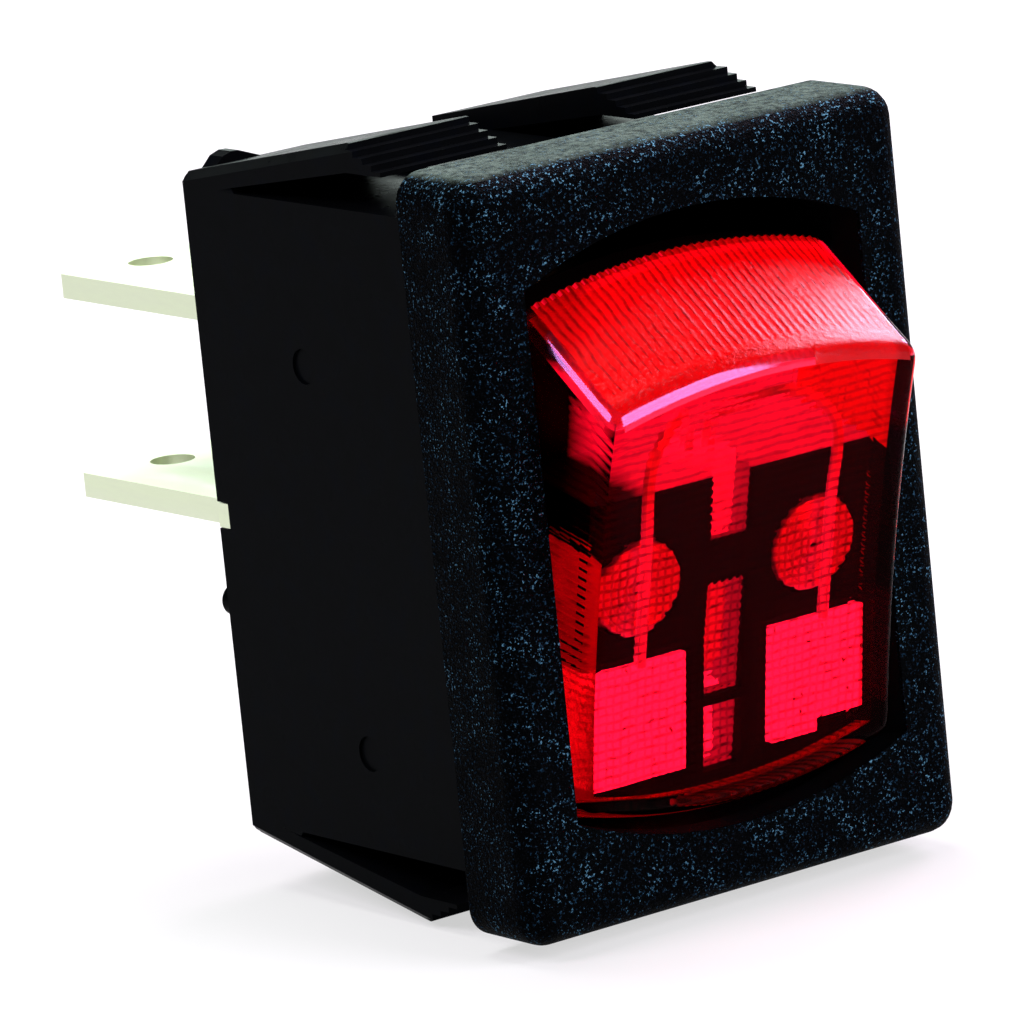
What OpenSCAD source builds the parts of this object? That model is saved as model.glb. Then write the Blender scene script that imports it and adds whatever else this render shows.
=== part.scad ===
// Lit two-pole panel rocker switch, snap-in, with 4.8 mm blade terminals.
// X runs across the panel, Y goes into it and Z is up. The origin is the middle of
// the bezel's rear face, which seats on the panel. The rocker rests with its top out.

/* [Bezel] */
// Width of the bezel
bezel_w = 15; // [14.4:0.1:17]
// Height of the bezel
bezel_h = 21; // [20.6:0.1:24]
// Thickness of the bezel
bezel_t = 2.9; // [2.5:0.1:3.2]
// Corner radius of the bezel, seen from the front
bezel_corner_r = 0.85; // [0.85:0.05:2]
// Rounding of the bezel's front edge
bezel_edge_r = 0.8; // [0.4:0.05:0.8]
// Bow of the opening's ends
opening_bow = 1.1; // [0.9:0.05:1.2]
// Depth of the opening's lip, behind which the cavity is higher
lip_d = 1; // [0.9:0.05:1.2]
// How far the opening's sloped sides widen towards the front
opening_flare = 0.3; // [0.2:0.05:0.5]
// Depth of the opening's sloped sides
opening_slope_d = 0.9; // [0.5:0.1:1.1]

/* [Body] */
// Width of the panel cut-out that the body fits
cutout_w = 13; // [13:0.05:13.6]
// Height of the panel cut-out that the body fits
cutout_h = 19; // [19:0.05:19.4]
// Clearance of the body in the cut-out, on each side
cutout_clear = 0.05; // [0.03:0.01:0.1]
// Depth of the body behind the panel seat
body_d = 11.5; // [11.5:0.1:13]
// Corner radius of the body
body_corner_r = 0.4; // [0.2:0.05:0.6]
// Step down from the arms' roots to the strip between them
mid_step = 0.18; // [0.1:0.02:0.3]
// Thickness of the floor that holds the terminals
floor_t = 0.9; // [0.7:0.05:1.1]
// Thickness of the wall between the two poles
divider_t = 0.8; // [0.6:0.05:1.2]
// Front edge of the wall between the poles
divider_y = 5.6; // [5.2:0.1:6.4]

/* [Snap arms] */
// Height of an arm's crest from the middle of the switch
arm_crest_z = 10.85; // [10.5:0.05:11.2]
// Depth of an arm's crest behind the panel seat
arm_crest_y = 3.8; // [3.4:0.05:4.5]
// Thickness of an arm
arm_t = 0.67; // [0.5:0.01:0.8]
// Width of the gap between the two arms of one end
arm_gap_w = 4.4; // [3.6:0.1:5.4]
// Depth of the flat crest in front of the ramp
arm_crest_flat = 0.15; // [0.1:0.05:0.4]
// Number of panel steps at an arm's tip
arm_steps = 4; // [2:1:5]
// Depth of one panel step
arm_step_y = 0.4; // [0.3:0.05:0.45]
// Height of one panel step
arm_step_z = 0.16; // [0.12:0.01:0.2]
// Depth at which an arm leaves the body
arm_root_y = 9.2; // [8.6:0.1:9.8]
// Space for an arm to flex into at its root
arm_flex = 0.15; // [0.1:0.05:0.2]
// Chamfer along an arm's outer edge
arm_chamfer = 0.25; // [0.1:0.05:0.3]

/* [Rocker] */
// Depth of the rocker's pivot behind the panel seat
pivot_y = 2.4; // [2.2:0.05:2.6]
// Tilt of the rocker at either end of its swing
rest_tilt = 14.2; // [12:0.1:14.2]
// Width of the rocker
rocker_w = 10.6; // [10.3:0.05:10.6]
// Distance from the pivot to the line through the two crests
crest_d = 6.9; // [6.5:0.05:7.2]
// Height of the rocker's face from crest to crest
face_h = 11.26; // [11:0.02:11.4]
// Hollow of the face at its middle
face_dish = 0.28; // [0.15:0.01:0.4]
// Distance from the pivot to the inner edge of the lens
lens_rim_d = 2.6; // [2.5:0.05:2.8]
// Flare of the end faces
end_flare = 22.5; // [20:0.5:22.5]
// Bow of the end faces across the rocker
end_bow = 0.75; // [0.6:0.05:0.8]
// Wall of the lens
lens_wall = 0.5; // [0.4:0.05:0.6]
// Running clearance of the rocker in its opening
rocker_clear = 0.12; // [0.1:0.01:0.2]
// Radius of the rocker's trunnions
trunnion_r = 1.2; // [1:0.05:1.3]
// Length of a trunnion beyond the rocker's side
trunnion_l = 0.7; // [0.5:0.05:0.8]
// Radial clearance of a trunnion in its socket
trunnion_clear = 0.05; // [0.03:0.01:0.08]

/* [Carrier] */
// Gap between the carrier and the lens around it
carrier_gap = 0.05; // [0.03:0.01:0.08]
// Height at which the raised part of the carrier ends
block_top_z = 2.8; // [2.6:0.1:3.2]
// Space between the raised part of the carrier and the lens
block_gap = 0.55; // [0.5:0.01:0.6]
// Thickness of the carrier's flange under the lens
flange_t = 1.2; // [1:0.1:1.3]
// Wall of the two spring wells
well_wall = 0.35; // [0.3:0.05:0.4]
// Reach of the wells behind the pivot
well_reach = 2.4; // [2.2:0.1:2.6]
// Radius of the bearing cheeks around the trunnions
cheek_r = 2; // [1.7:0.1:2.2]
// Thickness of the bearing cheeks
cheek_t = 0.8; // [0.6:0.05:0.9]

/* [Plungers and springs] */
// Distance of each pole from the middle of the switch
pole_x = 3; // [2.9:0.05:3.05]
// Radius of the plunger's guide
plunger_r = 1.4; // [1.2:0.05:1.45]
// Radial clearance of the plunger in its well
plunger_clear = 0.06; // [0.04:0.01:0.1]
// Radius of the plunger's tip
tip_r = 0.6; // [0.5:0.05:0.7]
// Length of the plunger's guide
guide_l = 2.6; // [2.2:0.1:2.8]
// Radius of the spigot that centres the spring
spigot_r = 0.6; // [0.5:0.05:0.65]
// Length of the spigot
spigot_l = 1; // [0.6:0.1:1.2]
// Radius of the spring's wire
wire_r = 0.14; // [0.1:0.01:0.16]
// Turns of the spring
spring_turns = 7; // [5:0.5:8]
// Travel of the plunger into its well
plunger_travel = 0.6; // [0.3:0.05:0.8]

/* [Lamp] */
// Radius of the lamp's glass tube
lamp_r = 1; // [0.8:0.05:1.05]
// Length of the lamp's glass tube
lamp_l = 6.5; // [6:0.1:6.6]
// Radius of the lamp's resistor
resistor_r = 0.9; // [0.7:0.05:0.95]
// Length of the lamp's resistor
resistor_l = 1.9; // [1.6:0.1:2]
// Gap between the lamp and its resistor
lamp_gap = 0.3; // [0.2:0.05:0.4]
// Wall of the carrier in front of the lamp
lamp_skin = 0.35; // [0.25:0.05:0.4]
// Width of the windows in front of the lamp
window_w = 1.3; // [1:0.1:1.5]
// Height of the bar between the upper and the middle window
window_bar = 1.3; // [0.8:0.1:1.6]
// Lower end of the upper window
window_z = 0.85; // [0.6:0.05:1.2]
// Radius of the lamp's leads
lead_r = 0.16; // [0.12:0.01:0.18]
// Distance of a lamp plate's inner edge from the middle of the rocker
plate_in = 1.5; // [1.3:0.05:1.8]
// Gap between a lamp plate and the lens
plate_gap = 0.08; // [0.05:0.01:0.2]
// Thickness of a lamp plate
plate_t = 0.25; // [0.15:0.05:0.3]
// Drop of a lamp plate's top edge below the pivot
plate_drop = 2.1; // [2:0.05:2.15]
// Lean of the lamp plates towards the lens, at their lower edge
plate_lean = 0.3; // [0.2:0.02:0.36]
// Depth of the leg that a lamp plate sends back along the lens's side wall
plate_leg = 1.7; // [1.2:0.1:2]
// Size of the cut corner or notch in a lamp plate
plate_notch = 0.8; // [0.5:0.1:1]

/* [Contacts] */
// Height of the levers' knife edges above the body's rear face
knife_stand = 3.25; // [3.2:0.01:3.3]
// Lever turn for one degree of rocker turn
lever_ratio = 0.5; // [0.45:0.01:0.5]
// Thickness of the lever strip
lever_t = 0.45; // [0.4:0.01:0.5]
// Width of a lever
lever_w = 3; // [2.8:0.05:3.1]
// Length of each arm of a lever
lever_arm = 7.1; // [6.9:0.05:7.2]
// Width of a lever's waist between the knife edge's horns
waist_w = 2.2; // [1.8:0.1:2.3]
// Distance of a moving contact from the knife edge
contact_z = 6.2; // [6:0.05:6.3]
// Radius of the silver contacts
contact_r = 0.8; // [0.6:0.05:0.85]
// Radius of a moving contact's domed face
dome_r = 1.6; // [1.4:0.1:2]
// Thickness of a moving contact
moving_contact_t = 0.5; // [0.45:0.01:0.55]
// Gap left between parts that press on each other
touch_gap = 0.03; // [0.02:0.01:0.05]

/* [Terminals] */
// Width of a blade
blade_w = 4.8; // [4.6:0.05:4.8]
// Thickness of a blade
blade_t = 0.7; // [0.6:0.05:0.8]
// Length of a blade behind the body
blade_l = 8.05; // [6.5:0.05:9]
// Distance of each blade's middle from the middle of the switch
blade_x = 3.75; // [3.7:0.05:3.8]
// Height of the load terminals' blades
load_z = 5.53; // [5.4:0.01:5.6]
// Height of the common terminals' blades
common_z = -0.25; // [-0.3:0.01:0]
// Length of the chamfer at a blade's tip
blade_tip = 0.98; // [0.6:0.02:1.2]
// Radius of the hole in a blade
blade_hole_r = 0.65; // [0.5:0.05:0.8]
// Distance of the hole's middle from the blade's tip
blade_hole_d = 2; // [1.9:0.1:2.4]
// Width of a terminal inside the body
tang_w = 3; // [2.9:0.05:3.1]
// Clearance of a tang in its slot, on each side
tang_clear = 0.03; // [0.02:0.01:0.05]
// Depth of the shoulder seat in the rear face
shoulder_d = 0.5; // [0.3:0.05:0.5]
// Inside bend radius of a load terminal
bend_r = 0.2; // [0.1:0.05:0.3]
// Height of the horns beside a lever, above its knife edge
horn_h = 0.7; // [0.5:0.05:0.8]
// Thickness of the ribs that stop the levers
stop_t = 0.8; // [0.6:0.1:1]

/* [Hidden] */
$fn = 48;
sides = [-1, 1];
// Overlap that joins two solids, and margin by which a cutter runs past its solid
eps = 0.01;
cut = 1;

// Bezel and body
straight_t = bezel_t - bezel_edge_r;
body_w = cutout_w - 2 * cutout_clear;
body_h = cutout_h - 2 * cutout_clear;
floor_y = body_d - floor_t;

// Snap arms
arm_front_y = arm_crest_y - arm_crest_flat;
arm_tip_y = arm_front_y - arm_steps * arm_step_y;
arm_tip_t = 0.13;
arm_tip_z = arm_crest_z - arm_steps * arm_step_z;
arm_rise = arm_crest_z - body_h / 2;
arm_run = body_d - arm_crest_y;
arm_floor_z = arm_ramp(arm_root_y) - arm_t - arm_flex;

// Round marks as (depth, height), pip and gate stub that moulding leaves on the body
mark_r = 0.5;
mark_d = 0.08;
side_marks = [[6.6, 4.45], [5.4, -6.3]];
pip_r = 0.45;
pip_h = 0.3;
pip_z = -2.8;
gate_x = -5.75;
gate_w = 2.05;
gate_d = 0.6;
gate_h = 0.4;

// Rocker outline, with its pivot at the origin and its face towards -Y
face_half = face_h / 2;
rim_half = face_half + (crest_d - lens_rim_d) * tan(end_flare);
face_r = (face_half * face_half + face_dish * face_dish) / (2 * face_dish);
bow_r = (rocker_w * rocker_w / 4 + end_bow * end_bow) / (2 * end_bow);
end_shift = bow_r - end_bow;
rim_reach = norm([lens_rim_d, rim_half]);

// Opening: its lip clears the rocker's lower end face at rest, the cavity its whole swing
throat_w = rocker_w + 2 * rocker_clear;
throat_half = rim_reach * sin(min(90, atan(rim_half / lens_rim_d) + rest_tilt)) + rocker_clear;
throat_y = opening_slope_d - bezel_t;
lip_y = lip_d - bezel_t;
low_crest_y = pivot_y - crest_d * cos(rest_tilt) + face_half * sin(rest_tilt);
low_crest_z = face_half * cos(rest_tilt) + crest_d * sin(rest_tilt);
lip_half = low_crest_z + (lip_y - low_crest_y) * tan(end_flare - rest_tilt) + rocker_clear;
bow_slack = 0.03;
cavity_bow = end_bow / cos(end_flare - rest_tilt) + bow_slack;

// Carrier
carrier_w = rocker_w - 2 * lens_wall - 2 * carrier_gap;
lens_back = crest_d - face_dish - lens_wall;
carrier_front = lens_back - block_gap;
flange_d = lens_rim_d - carrier_gap;
well_r = plunger_r + plunger_clear;
lamp_y = -(carrier_front - lamp_skin - lamp_r - carrier_gap);
lamp_bottom_z = block_top_z - lamp_l;
resistor_neck_r = 0.9 * resistor_r;
resistor_top_z = lamp_bottom_z - lamp_gap;
resistor_bottom_z = resistor_top_z - resistor_l;
lead_y = -(lens_back - touch_gap - lead_r);
lead_rise = 1.9;
lead_x = pole_x + lead_r;
plate_top_z = -plate_drop;
plate_back = carrier_front + touch_gap;
plate_w = carrier_w / 2 - plate_gap - plate_in;
plate_h = inner_end(plate_back + plate_t + plate_lean, carrier_w / 2) - plate_gap - plate_drop;
plate_angle = atan(plate_lean / plate_h);
plate_mid = plate_in + plate_w / 2;
leg_x = plate_in + plate_w - plate_t;
side_window_y = carrier_front - lamp_skin;
side_window_d = plate_leg;
flange_step = 0.3;

// Plunger: its tip's centre swings at tip_d from the pivot
knife_y = body_d - knife_stand;
knife_d = knife_y - pivot_y;
tip_d = knife_d - lever_t - touch_gap - tip_r;
nose_l = 0.9;
guide_end = tip_d - nose_l;
guide_start = guide_end - guide_l;
spring_start = -(lens_back - touch_gap - 2 * lead_r);
spring_r = plunger_r - wire_r;
spring_sides = 16;

// Lever: its trough follows the plunger's tip over the whole swing
lever_tilt = lever_ratio * rest_tilt;
tip_out = tip_d * cos(rest_tilt) - knife_d;
tip_up = tip_d * sin(rest_tilt);
tip_rise = -(tip_out * cos(lever_tilt) - tip_up * sin(lever_tilt)) - (knife_d - tip_d);
tip_side = tip_out * sin(lever_tilt) + tip_up * cos(lever_tilt);
trough_r = (tip_side * tip_side + tip_rise * tip_rise) / (2 * tip_rise)
    + tip_r + touch_gap + lever_t / 2;
trough_angle = 40;
shoulder_r = 0.6;
wing_fall = 24;
wing_h = lever_t / 2 + 0.02;
waist_half = 0.8;
horn_gap_w = waist_w + 0.2;

// Contacts
dome_low = (moving_contact_t - dome_r) * cos(lever_tilt) + contact_z * sin(lever_tilt) + dome_r;
contact_y = knife_y + dome_low + touch_gap;
stop_y = knife_y + (lever_t / 2 - wing_h) * cos(lever_tilt)
    + (contact_z + stop_t) * sin(lever_tilt) + touch_gap;
seat_y = floor_y - blade_t;
fixed_contact_z = contact_z * cos(lever_tilt) + (dome_r - moving_contact_t) * sin(lever_tilt);
rivet_r = 0.4;
rivet_head_r = 0.6;
rivet_head_t = 0.15;

// Terminals
tip_y = body_d + blade_l;
bend_line_r = bend_r + blade_t / 2;
flange_edge = 0.3;

// ---- Helpers ----

// Extrudes a (Y, Z) outline from x0 to x1.
module along_x(x0, x1) {
    translate([x0, 0, 0]) rotate([90, 0, 90]) linear_extrude(x1 - x0) children();
}

// Extrudes an (X, Z) outline from y0 to y1.
module along_y(y0, y1) {
    translate([0, y1, 0]) rotate([90, 0, 0]) linear_extrude(y1 - y0) children();
}

// Round bar along Y.
module bar_y(y0, y1, r) {
    translate([0, y1, 0]) rotate([90, 0, 0]) cylinder(h = y1 - y0, r = r);
}

// Round bar along X.
module bar_x(x0, x1, r) {
    translate([x0, 0, 0]) rotate([0, 90, 0]) cylinder(h = x1 - x0, r = r);
}

// Rectangle with rounded corners.
module rounded_rect(w, h, r) {
    square([w - 2 * r, h], center = true);
    square([w, h - 2 * r], center = true);
    for (x = sides, z = sides)
        translate([x * (w / 2 - r), z * (h / 2 - r)]) circle(r);
}

// Rectangle whose short ends bow outwards; half is measured at the corners. The ends
// can run on past the corners, by reach on each side.
module bowed_rect(w, half, bow, reach = 0) {
    r = (w * w / 4 + bow * bow) / (2 * bow);
    intersection() {
        square([w + 2 * reach, 2 * (half + bow) + cut], center = true);
        for_both_ends(half + bow - r) circle(r, $fn = 180);
    }
}

// Draws its children for the right pole and mirrored for the left one.
module for_both_poles() {
    for (m = [0, 1]) mirror([m, 0, 0]) children();
}

// Keeps what is inside both of two mirrored copies.
module for_both_ends(shift) {
    intersection() {
        translate([0, shift]) children();
        translate([0, -shift]) children();
    }
}

// Points of an arc from angle a0 to a1 around c.
function arc(c, r, a0, a1, n) =
    [for (i = [0:n]) c + r * [cos(a0 + (a1 - a0) * i / n), sin(a0 + (a1 - a0) * i / n)]];

// Unit normal of a path at point i, from its neighbours.
function path_normal(p, i) =
    let (d = p[min(i + 1, len(p) - 1)] - p[max(i - 1, 0)]) [-d[1], d[0]] / norm(d);

// Outline of a strip of thickness t around a path.
function strip(p, t) = concat(
    [for (i = [0:len(p) - 1]) p[i] + path_normal(p, i) * t / 2],
    [for (i = [len(p) - 1:-1:0]) p[i] - path_normal(p, i) * t / 2]);

// Places rocker parts, drawn around the pivot, in their rest pose.
module in_rocker() {
    translate([0, pivot_y, 0]) rotate([rest_tilt, 0, 0]) children();
}

// Places lever parts, drawn around the knife edge, in their rest pose.
module on_knife(side) {
    translate([side * pole_x, knife_y, 0]) rotate([-lever_tilt, 0, 0]) children();
}

// ---- Housing ----

module bezel() {
    e = bezel_edge_r;
    rc = bezel_corner_r;
    along_y(-straight_t, 0) rounded_rect(bezel_w, bezel_h, rc);
    along_y(-bezel_t, 0) rounded_rect(bezel_w - 2 * e, bezel_h - 2 * e, rc - e);
    for (s = sides) {
        translate([s * (bezel_w / 2 - e), -straight_t, rc - bezel_h / 2])
            cylinder(h = bezel_h - 2 * rc, r = e);
        translate([0, -straight_t, s * (bezel_h / 2 - e)])
            bar_x(rc - bezel_w / 2, bezel_w / 2 - rc, e);
        for (z = sides)
            translate([s * (bezel_w / 2 - rc), -straight_t, z * (bezel_h / 2 - rc)])
                rotate([90, 0, 0]) rotate_extrude() intersection() {
                    translate([rc - e, 0]) circle(e);
                    translate([0, -e]) square([rc, 2 * e]);
                }
    }
}

// Opening for the rocker, with sloped sides and a lip, and the cavity behind it.
module rocker_opening() {
    front_half = throat_w / 2 + opening_flare;
    intersection() {
        along_y(-bezel_t - cut, lip_y + eps)
            bowed_rect(throat_w, lip_half, opening_bow, opening_flare);
        translate([0, 0, -bezel_h / 2]) linear_extrude(bezel_h) polygon([
            [-throat_w / 2, lip_y + eps], [throat_w / 2, lip_y + eps],
            [throat_w / 2, throat_y], [front_half, -bezel_t], [front_half, -bezel_t - cut],
            [-front_half, -bezel_t - cut], [-front_half, -bezel_t], [-throat_w / 2, throat_y]]);
    }
    along_y(lip_y, floor_y) bowed_rect(throat_w, throat_half, cavity_bow);
}

// Outer line of an arm, from its root to its crest.
function arm_ramp(y) = body_h / 2 + arm_rise * (body_d - y) / arm_run;

module arm_profile() {
    polygon(concat(
        [[body_d, body_h / 2 - arm_t], [body_d, body_h / 2], [arm_crest_y, arm_crest_z]],
        [for (i = [0:arm_steps - 1]) each [
            [arm_front_y - i * arm_step_y, arm_crest_z - i * arm_step_z],
            [arm_front_y - i * arm_step_y, arm_crest_z - (i + 1) * arm_step_z]]],
        [[arm_tip_y, arm_tip_z], [arm_tip_y, arm_tip_z - arm_tip_t],
         [arm_front_y, arm_tip_z - arm_tip_t],
         [arm_root_y, arm_ramp(arm_root_y) - arm_t]]));
}

module arm_relief() {
    polygon([[0, arm_floor_z], [arm_root_y - arm_flex, arm_floor_z],
        [arm_root_y, arm_ramp(arm_root_y) - arm_t], [arm_root_y - cut, body_h / 2 + cut],
        [0, body_h / 2 + cut]]);
}

module for_each_arm() {
    for (s = sides, z = [0, 1])
        mirror([0, 0, z]) mirror([(1 - s) / 2, 0, 0]) children();
}

// Slot for a tang and, behind it, the seat of the blade's shoulder up to seat_x.
module terminal_slot(z, seat_x) {
    c = tang_clear;
    for_both_poles() {
        translate([pole_x - tang_w / 2 - c, floor_y - cut, z - blade_t / 2 - c])
            cube([tang_w + 2 * c, floor_t + 2 * cut, blade_t + 2 * c]);
        translate([blade_x - blade_w / 2 - c, body_d - shoulder_d, z - blade_t / 2 - c])
            cube([seat_x - blade_x + blade_w / 2 + c, shoulder_d + cut, blade_t + 2 * c]);
    }
}

// Room in the floor for a load terminal's bend.
module bend_relief() {
    for_both_poles()
        translate([pole_x - tang_w / 2 - tang_clear, floor_y - cut, load_z])
            cube([tang_w + 2 * tang_clear, cut + bend_r, bend_line_r + tang_clear]);
}

// The stub is steep on one side and runs out gently on the other.
module gate_stub() {
    along_y(body_d - gate_d, body_d) translate([gate_x, body_h / 2]) polygon([
        [0, -mid_step], [0, 0], [gate_w * 0.15, gate_h * 0.75], [gate_w * 0.3, gate_h],
        [gate_w * 0.42, gate_h * 0.97], [gate_w, -mid_step / 3], [gate_w, -mid_step]]);
}

// Chamfer cutter along an arm's outer edge, from its root to its crest.
module arm_edge_cut() {
    side = arm_chamfer * sqrt(2);
    translate([body_w / 2, body_d, body_h / 2]) rotate([-atan(arm_rise / arm_run), 0, 0])
        rotate([0, 45, 0]) cube([side, 3 * arm_run, side], center = true);
}

module snap_arm() {
    difference() {
        along_x(arm_gap_w / 2, body_w / 2) arm_profile();
        arm_edge_cut();
    }
}

module housing() {
    color("#15161a") {
        difference() {
            union() {
                bezel();
                along_y(-eps, body_d) rounded_rect(body_w, body_h, body_corner_r);
            }
            rocker_opening();
            for_each_arm() along_x(arm_gap_w / 2, body_w) arm_relief();
            for (s = sides)
                translate([-arm_gap_w / 2, 0, s * body_h / 2 - mid_step])
                    cube([arm_gap_w, body_d + cut, 2 * mid_step]);
            for_both_poles() translate([0, pivot_y, 0])
                bar_x(throat_w / 2 - cut, rocker_w / 2 + trunnion_l + rocker_clear,
                    trunnion_r + trunnion_clear);
            terminal_slot(load_z, blade_x + blade_w / 2 + tang_clear);
            terminal_slot(common_z, body_w);
            bend_relief();
            for (m = side_marks)
                translate([0, m[0], m[1]]) bar_x(-body_w, mark_d - body_w / 2, mark_r);
        }
        for_each_arm() snap_arm();
        // Wall between the poles
        translate([-divider_t / 2, divider_y, -throat_half])
            cube([divider_t, floor_y - divider_y + eps, 2 * throat_half]);
        // Ribs that stop the levers in the off position
        for_both_poles()
            translate([pole_x - lever_w / 2, stop_y, -contact_z - stop_t / 2])
                cube([lever_w, floor_y - stop_y + eps, stop_t]);
        gate_stub();
        translate([pip_r - body_w / 2, 0, pip_z]) bar_y(body_d - eps, body_d + pip_h, pip_r);
    }
}

// ---- Rocker ----

// The rocker's outer form, shrunk by inset on every side and cut off at y_end.
module rocker_form(inset, y_end) {
    intersection() {
        along_x(inset - rocker_w / 2, rocker_w / 2 - inset) difference() {
            translate([-crest_d - cut, -bezel_h / 2]) square([crest_d + cut + y_end, bezel_h]);
            translate([face_dish - crest_d - face_r + inset, 0]) circle(face_r, $fn = 240);
        }
        for_each_end() translate([0, -crest_d + end_shift * sin(end_flare),
                face_half - end_shift * cos(end_flare)])
            rotate([end_flare - 90, 0, 0])
                cylinder(h = 4 * crest_d, r = bow_r - inset, center = true, $fn = 240);
    }
}

// Height inside the lens's end wall at distance d from the pivot and x from the middle.
function inner_end(d, x) = face_half - end_shift * cos(end_flare)
    + (sqrt(pow(bow_r - lens_wall, 2) - x * x)
        + (crest_d - d - end_shift * sin(end_flare)) * sin(end_flare)) / cos(end_flare);

// Keeps what is inside both the upper and the mirrored lower copy.
module for_each_end() {
    intersection() {
        children();
        mirror([0, 0, 1]) children();
    }
}

module rocker_lens() {
    color("#d1001f", 0.7) in_rocker() difference() {
        rocker_form(0, -lens_rim_d);
        rocker_form(lens_wall, cut);
    }
}

// Front and top of the carrier's raised block; the lower front leans with the plates.
module block_profile() {
    polygon([[-flange_d, block_top_z], [-carrier_front, block_top_z], [-carrier_front, plate_top_z],
        [-carrier_front - plate_lean, plate_top_z - plate_h],
        [-carrier_front - plate_lean, -rim_half], [-flange_d, -rim_half]]);
}

module rocker_carrier() {
    color("#101012") in_rocker() difference() {
        union() {
            intersection() {
                rocker_form(lens_wall + carrier_gap, -flange_d + eps);
                along_x(-carrier_w / 2, carrier_w / 2) block_profile();
            }
            along_y(-flange_d, flange_t - flange_d)
                bowed_rect(rocker_w, rim_half - flange_step, end_bow);
            for_both_poles() {
                translate([pole_x, 0, 0]) bar_y(-flange_d, well_reach, well_r + well_wall);
                bar_x(rocker_w / 2 - cheek_t, rocker_w / 2, cheek_r);
                translate([rocker_w / 2 - cheek_t, -flange_d, -cheek_r])
                    cube([cheek_t, flange_d, 2 * cheek_r]);
                bar_x(rocker_w / 2 - eps, rocker_w / 2 + trunnion_l, trunnion_r);
            }
        }
        for_both_poles() translate([pole_x, 0, 0]) bar_y(-crest_d, crest_d, well_r);
        // Channel for the lamp and its resistor, open at the top
        translate([0, lamp_y, resistor_bottom_z - carrier_gap])
            cylinder(h = face_h, r = lamp_r + carrier_gap);
        lamp_window(window_z, face_h);
        lamp_window(lamp_bottom_z, window_z - window_bar);
        lamp_window(resistor_bottom_z, resistor_top_z);
        // Room for the plates' legs, and windows that show the springs from the side
        for_both_poles() {
            at_plate() translate([leg_x - carrier_gap, -cut, -plate_h - carrier_gap])
                cube([cut, cut + plate_leg, plate_h + 2 * carrier_gap]);
            translate([pole_x, -side_window_y, -plunger_r])
                cube([carrier_w, side_window_d, 2 * plunger_r]);
        }
    }
}

// Window in front of the lamp from z0 up to z1.
module lamp_window(z0, z1) {
    translate([-window_w / 2, -crest_d, z0]) cube([window_w, crest_d + lamp_y, z1 - z0]);
}

module lamp_tube() {
    color("#e8c8b0", 0.6) in_rocker() translate([0, lamp_y, lamp_bottom_z]) {
        translate([0, 0, lamp_r]) cylinder(h = lamp_l - lamp_r, r = lamp_r);
        translate([0, 0, lamp_r]) sphere(lamp_r);
    }
}

module lamp_resistor() {
    color("#cdb98c") in_rocker() translate([0, lamp_y, resistor_bottom_z]) {
        cylinder(h = resistor_l, r = resistor_neck_r);
        cylinder(h = resistor_l / 4, r = resistor_r);
        translate([0, 0, resistor_l * 3 / 4]) cylinder(h = resistor_l / 4, r = resistor_r);
    }
}

// Tube of radius r along a path; up is never parallel to the path.
module tube(path, r, up, n = 8) {
    count = len(path);
    function tangent(i) =
        let (d = path[min(i + 1, count - 1)] - path[max(i - 1, 0)]) d / norm(d);
    function ring(i) =
        let (t = tangent(i), a = cross(up, t), u = a / norm(a), v = cross(t, u))
        [for (k = [0:n - 1]) path[i] + r * (cos(360 * k / n) * u + sin(360 * k / n) * v)];
    polyhedron(
        points = [for (i = [0:count - 1]) each ring(i)],
        faces = concat(
            [[for (k = [0:n - 1]) k]],
            [for (i = [0:count - 2], k = [0:n - 1])
                [i * n + k, (i + 1) * n + k, (i + 1) * n + (k + 1) % n, i * n + (k + 1) % n]],
            [[for (k = [n - 1:-1:0]) (count - 1) * n + k]]));
}

// Points of a smooth curve through the given ones, s steps for each stretch.
function curve(p, s) = [for (i = [0:len(p) - 2], j = [0:s - 1]) blend(p, i, j / s), p[len(p) - 1]];
function blend(p, i, t) =
    let (a = p[max(i - 1, 0)], b = p[i], c = p[i + 1], d = p[min(i + 2, len(p) - 1)])
    0.5 * (2 * b + t * (c - a) + t * t * (2 * a - 5 * b + 4 * c - d)
        + t * t * t * (3 * b - a - 3 * c + d));

// A lead leaves the lamp's top, crosses the spring's end and stops on its plate.
module lamp_lead() {
    top = block_top_z;
    color("#d8d8dc") in_rocker() tube(curve([
        [lamp_r / 3, lamp_y, top + touch_gap], [lamp_r / 2, lamp_y, top + lead_rise / 2],
        [0.6 * lead_x, lead_y + 3 * lead_r, top + lead_rise],
        [lead_x, lead_y, top + lead_rise / 2], [lead_x, lead_y, top / 2],
        [lead_x, lead_y, plate_top_z / 2], [lead_x, lead_y, plate_top_z + touch_gap]], 4),
        lead_r, [0.6, 0.8, 0]);
}

module at_plate() {
    translate([0, -plate_back, plate_top_z]) rotate([-plate_angle, 0, 0]) children();
}

module plate_blank() {
    translate([plate_mid - plate_w / 2, -plate_t, -plate_h]) cube([plate_w, plate_t, plate_h]);
    translate([leg_x, -plate_t, -plate_h]) cube([plate_t, plate_leg, plate_h]);
}

module lamp_plate_left() {
    color("#f2f2f0") in_rocker() at_plate() mirror([1, 0, 0]) difference() {
        plate_blank();
        translate([plate_mid + plate_w / 2, 0, 0]) rotate([0, 45, 0])
            cube([plate_notch, 3 * plate_t, plate_notch], center = true);
    }
}

module lamp_plate_right() {
    color("#f2f2f0") in_rocker() at_plate() difference() {
        plate_blank();
        translate([plate_mid, -2 * plate_t, -plate_h - plate_notch / 2])
            cube([plate_w, 3 * plate_t, plate_notch]);
    }
}

// ---- Plungers and springs ----

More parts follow.
